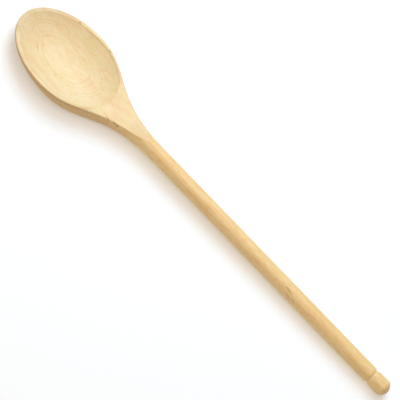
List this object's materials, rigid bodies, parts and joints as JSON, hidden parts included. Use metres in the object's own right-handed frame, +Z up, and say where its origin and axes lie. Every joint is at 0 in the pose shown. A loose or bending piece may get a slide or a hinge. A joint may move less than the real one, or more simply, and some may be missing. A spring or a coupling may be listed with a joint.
{
  "type": "wooden spoon",
  "caption": "Round-handled wooden mixing spoon with a shallow oval bowl, flat-topped neck and a ring groove below a domed handle end.",
  "frame": {"origin": "centre of the bounding box's bottom face, on the table that the spoon lies on", "axes": "+X from the bowl's tip to the handle's end, +Y across the bowl, +Z up out of the hollow"},
  "size_m": [0.3554, 0.0592, 0.016],
  "materials": {
    "wood": "sanded, unvarnished"
  },
  "bodies": {
    "root": {"spoon": "wood"}
  },
  "joints": []
}
